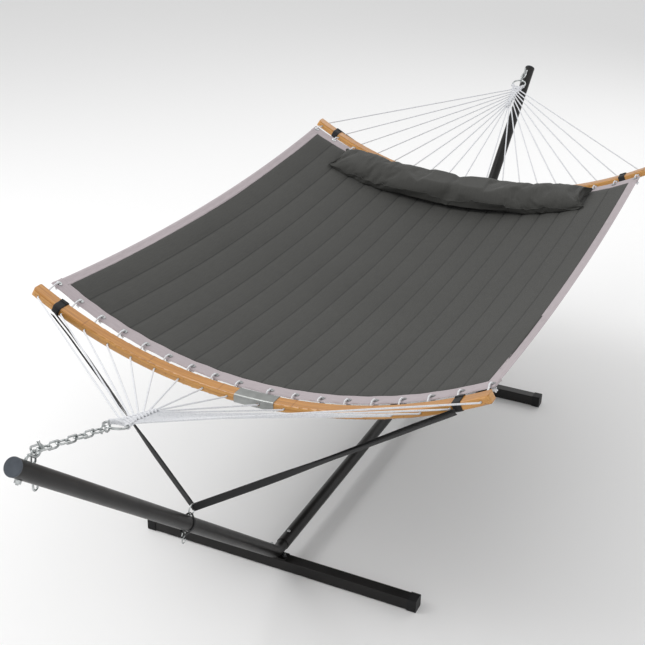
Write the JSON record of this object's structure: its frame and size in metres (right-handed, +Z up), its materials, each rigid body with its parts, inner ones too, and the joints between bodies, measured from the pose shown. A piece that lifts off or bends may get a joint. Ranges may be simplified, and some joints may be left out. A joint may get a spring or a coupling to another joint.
{
  "type": "hammock on stand",
  "caption": "Quilted spreader-bar hammock with a pillow, hung by chains between the raised arms of a free-standing steel tube stand on square feet.",
  "frame": {"origin": "centre of the stand on the floor, halfway between the two feet", "axes": "+X along the stand towards the pillow end, +Y to the left of it, +Z up"},
  "size_m": [3.7312, 1.4124, 1.0795],
  "materials": {
    "black_powder_coat": "satin black powder coat",
    "black_plastic": "matt",
    "grey_plastic": "matt",
    "zinc": "bright zinc plate",
    "spring_steel": "oiled",
    "black_steel": "black",
    "sleeve_metal": "satin grey",
    "white_rope": "braided polyester",
    "bamboo": "clear varnish",
    "charcoal_cloth": "quilted weave",
    "taupe_cloth": "plain weave",
    "white_wadding": "soft wadding",
    "black_webbing": "woven webbing"
  },
  "bodies": {
    "stand": {"near_foot": "black_powder_coat", "far_foot": "black_powder_coat", "foot_end_caps": "black_plastic", "near_elbow": "black_powder_coat", "far_elbow": "black_powder_coat", "foot_bolts": "zinc", "foot_nuts": "black_steel", "near_arm": "black_powder_coat", "far_arm": "black_powder_coat", "arm_end_caps": "grey_plastic", "beam": "black_powder_coat", "button_springs": "spring_steel", "near_hook": "zinc", "far_hook": "zinc", "hook_nuts": "zinc", "hook_washers": "zinc", "hook_links": "zinc", "strap_rings": "zinc", "arm_loops": "black_webbing", "strap_hooks": "zinc"},
    "near_arm_lock": {"near_arm_button": "zinc"},
    "far_arm_lock": {"far_arm_button": "zinc"},
    "near_beam_lock": {"near_beam_button": "zinc"},
    "far_beam_lock": {"far_beam_button": "zinc"},
    "spare_links": {"spare_chain": "zinc"},
    "hammock": {"near_chain": "zinc", "near_s_hook": "zinc", "far_s_hook": "zinc", "near_ring": "zinc", "far_ring": "zinc", "near_clew": "white_rope", "far_clew": "white_rope", "near_left_ropes": "white_rope", "near_right_ropes": "white_rope", "far_left_ropes": "white_rope", "far_right_ropes": "white_rope", "near_left_bar": "bamboo", "near_right_bar": "bamboo", "far_left_bar": "bamboo", "far_right_bar": "bamboo", "near_bar_sleeve": "sleeve_metal", "far_bar_sleeve": "sleeve_metal", "sleeve_screws": "zinc", "bed_top_fabric": "charcoal_cloth", "bed_padding": "white_wadding", "bed_bottom_fabric": "charcoal_cloth", "near_end_band": "taupe_cloth", "far_end_band": "taupe_cloth", "side_bindings": "taupe_cloth", "eyelets": "zinc", "near_straps": "black_webbing", "far_straps": "black_webbing", "bar_wraps": "black_webbing"},
    "pillow": {"pillow_top_fabric": "charcoal_cloth", "pillow_filling": "white_wadding", "pillow_bottom_fabric": "charcoal_cloth"}
  },
  "joints": [
    {"name": "hammock_swing", "type": "hinge", "parent": "stand", "child": "hammock", "pos_m": [0, 0, 1.04363], "axis": [1, 0, 0], "range_deg": [-5, 5], "deforming": ["near_straps", "far_straps"]},
    {"name": "spare_links_swing", "type": "hinge", "parent": "stand", "child": "spare_links", "pos_m": [-1.75273, 0.0075, 1.04858], "axis": [0.9511, 0, -0.309], "range_deg": [0, 50]},
    {"name": "pillow_lift", "type": "slide", "parent": "hammock", "child": "pillow", "axis": [0, 0, 1], "range_m": [0, 0.3]},
    {"name": "near_arm_button_press", "type": "slide", "parent": "stand", "child": "near_arm_lock", "axis": [-0.6561, 0, -0.7547], "range_m": [0, 0.006], "stiffness_N_per_m": 1200, "springref_m": -0.003, "deforming": ["button_springs"]},
    {"name": "far_arm_button_press", "type": "slide", "parent": "stand", "child": "far_arm_lock", "axis": [0.6561, 0, -0.7547], "range_m": [0, 0.006], "stiffness_N_per_m": 1200, "springref_m": -0.003, "deforming": ["button_springs"]},
    {"name": "near_beam_button_press", "type": "slide", "parent": "stand", "child": "near_beam_lock", "axis": [0, 0, -1], "range_m": [0, 0.006], "stiffness_N_per_m": 1200, "springref_m": -0.003, "deforming": ["button_springs"]},
    {"name": "far_beam_button_press", "type": "slide", "parent": "stand", "child": "far_beam_lock", "axis": [0, 0, -1], "range_m": [0, 0.006], "stiffness_N_per_m": 1200, "springref_m": -0.003, "deforming": ["button_springs"]}
  ]
}
